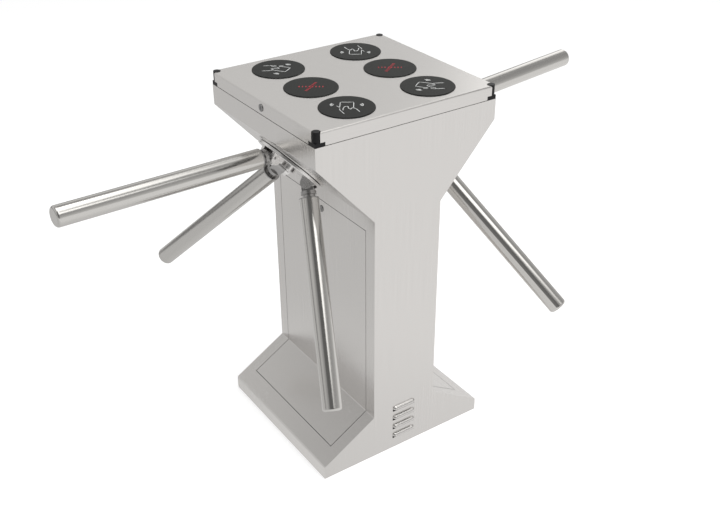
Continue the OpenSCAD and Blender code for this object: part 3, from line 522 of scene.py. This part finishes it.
class TURNSTILE_OT_finishes(bpy.types.Operator):
    """Make the shader groups and materials and dress every CAD node"""

    bl_idname = "turnstile.finishes"
    bl_label = "Finishes"

    def execute(self, context):
        finish = context.scene.turnstile_finish
        brushed_grain_group()
        handling_marks_group()
        sheet, rough = tuple(finish.sheet), finish.sheet_roughness
        tube, casting = tuple(finish.tube), tuple(finish.casting)
        plates = brushed_metal("Plate Satin Stainless", sheet, rough, ALONG_Z, depth=0.03)
        skins = brushed_metal("Skin Satin Stainless", sheet, rough, ALONG_Z, depth=0.05, seed=3.0)
        lid = brushed_metal("Lid Satin Stainless", sheet, rough, ALONG_X, depth=0.05, seed=7.0)
        arms = brushed_metal("Polished Tube", tube, finish.tube_roughness, even(160.0),
                             depth=0.02, tone=0.02)
        hubs = brushed_metal("Turned Hub", HUB_COLOUR, roughness=0.25, stretch=even(300.0),
                             depth=0.05, tone=0.05)
        cast = brushed_metal("Cast Knuckle", casting, roughness=0.28, stretch=even(220.0),
                             depth=0.15, tone=0.1)
        zinc = brushed_metal("Zinc Plate", ZINC_COLOUR, roughness=0.4, stretch=even(150.0),
                             depth=0.08, tone=0.12)
        machined = brushed_metal("Machined Steel", MACHINED_COLOUR, roughness=0.35,
                                 stretch=ALONG_Y, depth=0.1)
        locks = brushed_metal("Lock Face", LOCK_COLOUR, roughness=0.35, stretch=even(260.0),
                              depth=0.05)
        discs = ribbed_disc("Charcoal Disc", tuple(finish.disc))
        posts = moulded_plastic("Black Post Plastic", tuple(finish.black), roughness=0.4,
                                grain=900.0, depth=0.1)
        board = moulded_plastic("Board Lacquer", LACQUER_COLOUR, roughness=0.3, grain=400.0,
                                depth=0.1)
        winding = moulded_plastic("Solenoid Case", CASE_COLOUR, roughness=0.45, grain=700.0,
                                  depth=0.2)
        dress(machined, NODES)
        dress(plates, ["front_plate", "back_plate"])
        dress(skins, named("_skin", "access_panel", "hub_escutcheons"))
        dress(lid, ["lid"])
        dress(arms, named("arm_tube", "arm_cap"))
        dress(hubs, named("_hub", "shaft_bearings", "head_fasteners"))
        dress(cast, named("knuckle"))
        dress(zinc, named("lock_bolt", "detent_lever", "lid_ledge", "equipment_plate"))
        dress(locks, named("lid_lock", "panel_lock"))
        dress(discs, named("_disc"))
        dress(posts, ["corner_posts"])
        dress(board, ["control_board", "disc_boards"])
        dress(winding, ["lock_solenoids"])
        return {"FINISHED"}


class TURNSTILE_OT_reader_signs(bpy.types.Operator):
    """Print a hand and card sign on each reader disc"""

    bl_idname = "turnstile.reader_signs"
    bl_label = "Reader signs"

    def execute(self, context):
        signs = context.scene.turnstile_signs
        colour = tuple(context.scene.turnstile_finish.sign)
        ink = moulded_plastic("White Print", colour, roughness=0.5, grain=600.0, depth=0.05)
        for disc, (share, halves) in DISC_SHARES.items():
            low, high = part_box(f"{disc}_reader_disc")
            middle = (Vector(low) + Vector(high)) / 2
            bm = bmesh.new()
            draw_hand_and_card(bm, signs)
            bmesh.ops.translate(bm, verts=bm.verts, vec=(0.0, signs.rise, 0.0))
            thicken(bm, signs.height)
            turn = Matrix.Rotation(share * signs.turn + halves * math.pi, 4, "Z")
            place = Matrix.Translation((middle.x, middle.y, high[2]))
            bmesh.ops.transform(bm, matrix=place @ turn, verts=bm.verts)
            finish_piece(f"{disc}_reader_sign", bm, ink, "lid")
        return {"FINISHED"}


class TURNSTILE_OT_barred_lights(bpy.types.Operator):
    """Set a diagonal cross of light marks in each indicator disc"""

    bl_idname = "turnstile.barred_lights"
    bl_label = "Barred-way lights"

    def execute(self, context):
        signs = context.scene.turnstile_signs
        lamp = glowing_lamp("Red Lamp", tuple(context.scene.turnstile_finish.lamp))
        for side in SIDES:
            low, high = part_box(f"{side}_indicator_disc")
            middle = (Vector(low) + Vector(high)) / 2
            bm = bmesh.new()
            for share in (-1, 1):
                turn = Matrix.Rotation(share * signs.turn, 4, "Z")
                for i in range(signs.lamp_count):
                    reach = (i - (signs.lamp_count - 1) / 2) * signs.lamp_pitch
                    ends = [(turn @ Vector((reach, end * signs.lamp_l / 2, 0.0))).to_2d()
                            for end in (-1, 1)]
                    line_ribbon(bm, *ends, signs.lamp_w)
            thicken(bm, signs.height)
            bmesh.ops.translate(bm, verts=bm.verts, vec=(middle.x, middle.y, high[2]))
            finish_piece(f"{side}_barred_light", bm, lamp, "lid")
        return {"FINISHED"}


class TURNSTILE_OT_detent_springs(bpy.types.Operator):
    """Make the two coils that the detent levers press together"""

    bl_idname = "turnstile.detent_springs"
    bl_label = "Detent springs"

    def execute(self, context):
        wire = brushed_metal("Spring Wire", ZINC_COLOUR, roughness=0.3, stretch=even(200.0),
                             depth=0.05)
        for side, facing in zip(SIDES, (-1, 1)):
            bm = bmesh.new()
            bm.from_mesh(NODES["detent_springs"].data)
            others = [v for v in bm.verts if v.co.x * facing < 0]
            bmesh.ops.delete(bm, geom=others, context="VERTS")
            piece = finish_piece(f"{side}_detent_spring", bm, wire, "housing")
            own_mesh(piece)
            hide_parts("detent_springs")
        return {"FINISHED"}


class TURNSTILE_OT_panel_seam_shades(bpy.types.Operator):
    """Lay a dark strip in each access panel's top seam and round its slope, as painted shade in
    the seam
    """

    bl_idname = "turnstile.panel_seals"
    bl_label = "Panel seals"

    def execute(self, context):
        seam_shades = context.scene.turnstile_seals
        # Dark strips of painted shade, laid in the seams
        seam_shade = moulded_plastic("Seam Shade Dark", tuple(seam_shades.colour), roughness=0.7,
                                 grain=500.0, depth=0.1)
        _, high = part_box("left_access_panel")
        # On the panel's lower edge the outer corner is furthest out and the inner one is lowest,
        # so the way from the heel to the lip is square to the slope
        places = [v.co.copy() for v in NODES["left_access_panel"].data.vertices]
        column_x = min(v.x for v in places if high.z - v.z < EDGE_GAP)
        lip = min(places, key=lambda v: v.x)
        heel = min(places, key=lambda v: v.z)
        out = Vector((lip.x - heel.x, 0.0, lip.z - heel.z)).normalized()
        rise = Vector((out.z, 0.0, -out.x))
        lip = Vector((lip.x, 0.0, lip.z))
        fold = lip + rise * ((column_x - lip.x) / rise.x)
        across = Vector((0.0, 1.0, 0.0))
        half, aside = across * high.y, seam_shades.gap / 2
        top = Vector((column_x, 0.0, high.z + aside))
        bottom, reach = lip - rise * aside, across * (high.y + seam_shades.gap)
        runs = [(top - half, top + half, Vector((-1.0, 0.0, 0.0))),
                (bottom - reach, bottom + reach, out)]
        for side in (-1, 1):
            edge = across * side * (high.y + aside)
            runs.append((lip + edge, fold + edge, out))
        for i, side in enumerate(SIDES):
            bm = bmesh.new()
            for start, end, face in runs:
                self.bar(bm, start, end, face, seam_shades)
            bmesh.ops.rotate(bm, verts=bm.verts, matrix=Matrix.Rotation(i * math.pi, 3, "Z"))
            finish_piece(f"{side}_panel_seam_shade", bm, seam_shade, "housing")
        return {"FINISHED"}

    def bar(self, bm, start, end, face, seam_shades):
        """Dark bar between two points of the sheet's face, let into the seam as painted shade."""
        along = (end - start).normalized()
        side = face.cross(along)
        middle = (start + end) / 2 - face * (seam_shades.recess + seam_shades.thickness / 2)
        place = Matrix((along, side, face)).transposed().to_4x4()
        place.translation = middle
        width = seam_shades.gap - 2 * seam_shades.play
        size = Matrix.Diagonal(((end - start).length, width, seam_shades.thickness, 1.0))
        bmesh.ops.create_cube(bm, size=1.0, matrix=place @ size)


class TURNSTILE_OT_stage(bpy.types.Operator):
    """Set the floor, the lamps, the world and the camera"""

    bl_idname = "turnstile.stage"
    bl_label = "Stage"

    def execute(self, context):
        stage = context.scene.turnstile_stage
        context.scene.view_settings.view_transform = "Standard"
        self.make_floor(stage)
        self.make_world(context.scene)
        self.make_lamps(context.scene)
        self.make_camera(context.scene, stage)
        return {"FINISHED"}

    def make_floor(self, stage):
        bm = bmesh.new()
        bmesh.ops.create_grid(bm, x_segments=1, y_segments=1, size=stage.floor_size)
        mesh = bpy.data.meshes.new("floor")
        bm.to_mesh(mesh)
        bm.free()
        floor = bpy.data.objects.new("floor", mesh)
        bpy.context.scene.collection.objects.link(floor)
        material, tree, shader = plain_material("Pale Floor", FLOOR_COLOUR, 0.0, FLOOR_ROUGHNESS)
        shader.inputs["Specular IOR Level"].default_value = 0.0
        nodes, links = tree.nodes, tree.links
        path = new_node(nodes, "LightPath")
        seen = new_node(nodes, "Math", {1: FLOOR_GLOW}, operation="MULTIPLY")
        glow = new_node(nodes, "Emission")
        both = new_node(nodes, "AddShader")
        mirrored = new_node(nodes, "MixShader")
        links.new(path.outputs["Is Camera Ray"], seen.inputs[0])
        links.new(seen.outputs[0], glow.inputs["Strength"])
        links.new(shader.outputs["BSDF"], both.inputs[0])
        links.new(glow.outputs["Emission"], both.inputs[1])
        links.new(path.outputs["Is Glossy Ray"], mirrored.inputs[0])
        links.new(both.outputs["Shader"], mirrored.inputs[1])
        links.new(self.mirrored_floor(nodes, links), mirrored.inputs[2])
        links.new(mirrored.outputs["Shader"], nodes["Material Output"].inputs["Surface"])
        mesh.materials.append(material)

    def mirrored_floor(self, nodes, links):
        """The floor as metal sees it, brighter towards the front right."""
        place = new_node(nodes, "TexCoord")
        slant = new_node(nodes, "VectorMath", {1: MIRROR_WAY}, operation="DOT_PRODUCT")
        level = new_node(nodes, "MapRange",
                         {**span("From", MIRROR_SPAN), **span("To", MIRROR_LEVELS)})
        glow = new_node(nodes, "Emission", {"Color": MIRROR_COLOUR})
        links.new(place.outputs["Object"], slant.inputs[0])
        links.new(slant.outputs["Value"], level.inputs["Value"])
        links.new(level.outputs["Result"], glow.inputs["Strength"])
        return glow.outputs["Emission"]

    def make_world(self, scene):
        """White to the camera, even grey to rough surfaces, and a lit ceiling to metal."""
        world = bpy.data.worlds.new("Studio")
        scene.world = world
        world.use_nodes = True
        nodes, links = world.node_tree.nodes, world.node_tree.links
        path = new_node(nodes, "LightPath")
        glossy = new_node(nodes, "Mix", {"A": AMBIENT_COLOUR}, data_type="RGBA")
        direct = new_node(nodes, "Mix", {"B": BACKDROP_COLOUR}, data_type="RGBA")
        links.new(path.outputs["Is Glossy Ray"], glossy.inputs["Factor"])
        links.new(self.mirrored_ceiling(nodes, links), glossy.inputs["B"])
        links.new(path.outputs["Is Camera Ray"], direct.inputs["Factor"])
        links.new(glossy.outputs["Result"], direct.inputs["A"])
        links.new(direct.outputs["Result"], nodes["Background"].inputs["Color"])

    def mirrored_ceiling(self, nodes, links):
        """Grey ceiling with a bright top, a dark and a pale sector, and one lit window."""
        place = new_node(nodes, "TexCoord")
        split = new_node(nodes, "SeparateXYZ")
        level_way = new_node(nodes, "VectorMath", {1: (1.0, 1.0, 0.0)}, operation="MULTIPLY")
        heading = new_node(nodes, "VectorMath", operation="NORMALIZE")
        links.new(place.outputs["Generated"], split.inputs["Vector"])
        links.new(place.outputs["Generated"], level_way.inputs[0])
        links.new(level_way.outputs["Vector"], heading.inputs[0])
        way, height = heading.outputs["Vector"], split.outputs["Z"]
        behind = new_node(nodes, "MapRange", span("From", FRONT_TO_BACK))
        ceiling = new_node(nodes, "Mix", data_type="RGBA")
        links.new(split.outputs["Y"], behind.inputs["Value"])
        links.new(behind.outputs["Result"], ceiling.inputs["Factor"])
        links.new(self.sky_ramp(nodes, links, height, FRONT_LEVELS), ceiling.inputs["A"])
        links.new(self.sky_ramp(nodes, links, height, BACK_LEVELS), ceiling.inputs["B"])
        light = ceiling.outputs["Result"]
        for sector in (DARK_SECTOR, PALE_SECTOR):
            scaled = new_node(nodes, "VectorMath", operation="SCALE")
            links.new(light, scaled.inputs[0])
            links.new(self.sector_level(nodes, links, way, *sector), scaled.inputs["Scale"])
            light = scaled.outputs["Vector"]
        high = new_node(nodes, "MapRange", span("From", LIT_HEIGHTS))
        window = new_node(nodes, "Math", operation="MULTIPLY")
        lit = new_node(nodes, "Mix", {"B": LIT_COLOUR}, data_type="RGBA")
        links.new(height, high.inputs["Value"])
        links.new(high.outputs["Result"], window.inputs[0])
        links.new(self.sector_level(nodes, links, way, *LIT_SECTOR), window.inputs[1])
        links.new(window.outputs[0], lit.inputs["Factor"])
        links.new(light, lit.inputs["A"])
        return lit.outputs["Result"]

    def sector_level(self, nodes, links, way, azimuth, edge, levels):
        """Level against the cosine between a level direction and an azimuth in degrees."""
        turn = math.radians(azimuth)
        along = new_node(nodes, "VectorMath", {1: (math.cos(turn), math.sin(turn), 0.0)},
                         operation="DOT_PRODUCT")
        step = new_node(nodes, "MapRange", {**span("From", edge), **span("To", levels)})
        links.new(way, along.inputs[0])
        links.new(along.outputs["Value"], step.inputs["Value"])
        return step.outputs["Result"]

    def sky_ramp(self, nodes, links, height, levels):
        """Brightness of the ceiling against the upward part of the direction."""
        ramp = new_node(nodes, "ValToRGB")
        elements = ramp.color_ramp.elements
        elements[0].position, elements[1].position = levels[0][0], levels[-1][0]
        for place, _ in levels[1:-1]:
            elements.new(place)
        for element, (_, level) in zip(elements, levels):
            element.color = (*[level * part for part in CEILING_TINT], 1.0)
        links.new(height, ramp.inputs["Fac"])
        return ramp.outputs["Color"]

    def make_lamps(self, scene):
        for name, place, size, power in LAMPS:
            data = bpy.data.lights.new(name, "AREA")
            data.shape = "SQUARE"
            data.size = size
            data.energy = power
            lamp = bpy.data.objects.new(name, data)
            lamp.visible_glossy = False
            turn = (LAMP_AIM - Vector(place)).to_track_quat("-Z", "Y").to_matrix().to_4x4()
            lamp.matrix_world = Matrix.Translation(place) @ turn
            scene.collection.objects.link(lamp)

    def make_camera(self, scene, stage):
        azimuth, elevation = math.radians(stage.azimuth), math.radians(stage.elevation)
        back = Vector((math.sin(azimuth) * math.cos(elevation),
                       -math.cos(azimuth) * math.cos(elevation), math.sin(elevation)))
        right = Vector((math.cos(azimuth), math.sin(azimuth), 0.0))
        up = back.cross(right)
        turn = Matrix((right, up, back)).transposed().to_4x4()
        roll = Matrix.Rotation(math.radians(stage.roll), 4, "Z")
        data = bpy.data.cameras.new("camera")
        data.lens = stage.lens
        data.sensor_width = SENSOR_WIDTH
        camera = bpy.data.objects.new("camera", data)
        camera.matrix_world = Matrix.Translation(stage.place) @ turn @ roll
        scene.collection.objects.link(camera)
        scene.camera = camera


class TURNSTILE_PT_panel(bpy.types.Panel):
    """Lists the turnstile's settings and steps"""

    bl_idname = "TURNSTILE_PT_panel"
    bl_label = "Turnstile"
    bl_space_type = "VIEW_3D"
    bl_region_type = "UI"
    bl_category = "Turnstile"

    def draw(self, context):
        scene = context.scene
        for key in SETTINGS:
            settings = getattr(scene, key)
            column = self.layout.column(align=True)
            for name in settings.__annotations__:
                column.prop(settings, name)
        for step in STEPS:
            self.layout.operator(step.bl_idname)


SETTINGS = {
    "turnstile_finish": TurnstileFinish,
    "turnstile_signs": TurnstileSigns,
    "turnstile_seals": TurnstileSeamShades,
    "turnstile_springs": TurnstileSprings,
    "turnstile_stage": TurnstileStage,
}
STEPS = (
    TURNSTILE_OT_finishes,
    TURNSTILE_OT_reader_signs,
    TURNSTILE_OT_barred_lights,
    TURNSTILE_OT_panel_seam_shades,
    TURNSTILE_OT_detent_springs,
    TURNSTILE_OT_stage,
)


def register():
    for cls in (*SETTINGS.values(), *STEPS, TURNSTILE_PT_panel):
        bpy.utils.register_class(cls)
    for name, cls in SETTINGS.items():
        setattr(bpy.types.Scene, name, PointerProperty(type=cls))


def unregister():
    for name in SETTINGS:
        delattr(bpy.types.Scene, name)
    for cls in (TURNSTILE_PT_panel, *reversed(STEPS), *SETTINGS.values()):
        bpy.utils.unregister_class(cls)


def main():
    register()
    bpy.ops.turnstile.finishes()
    bpy.ops.turnstile.reader_signs()
    bpy.ops.turnstile.barred_lights()
    bpy.ops.turnstile.panel_seals()
    bpy.ops.turnstile.detent_springs()
    bpy.ops.turnstile.stage()


if __name__ == "__main__":
    main()
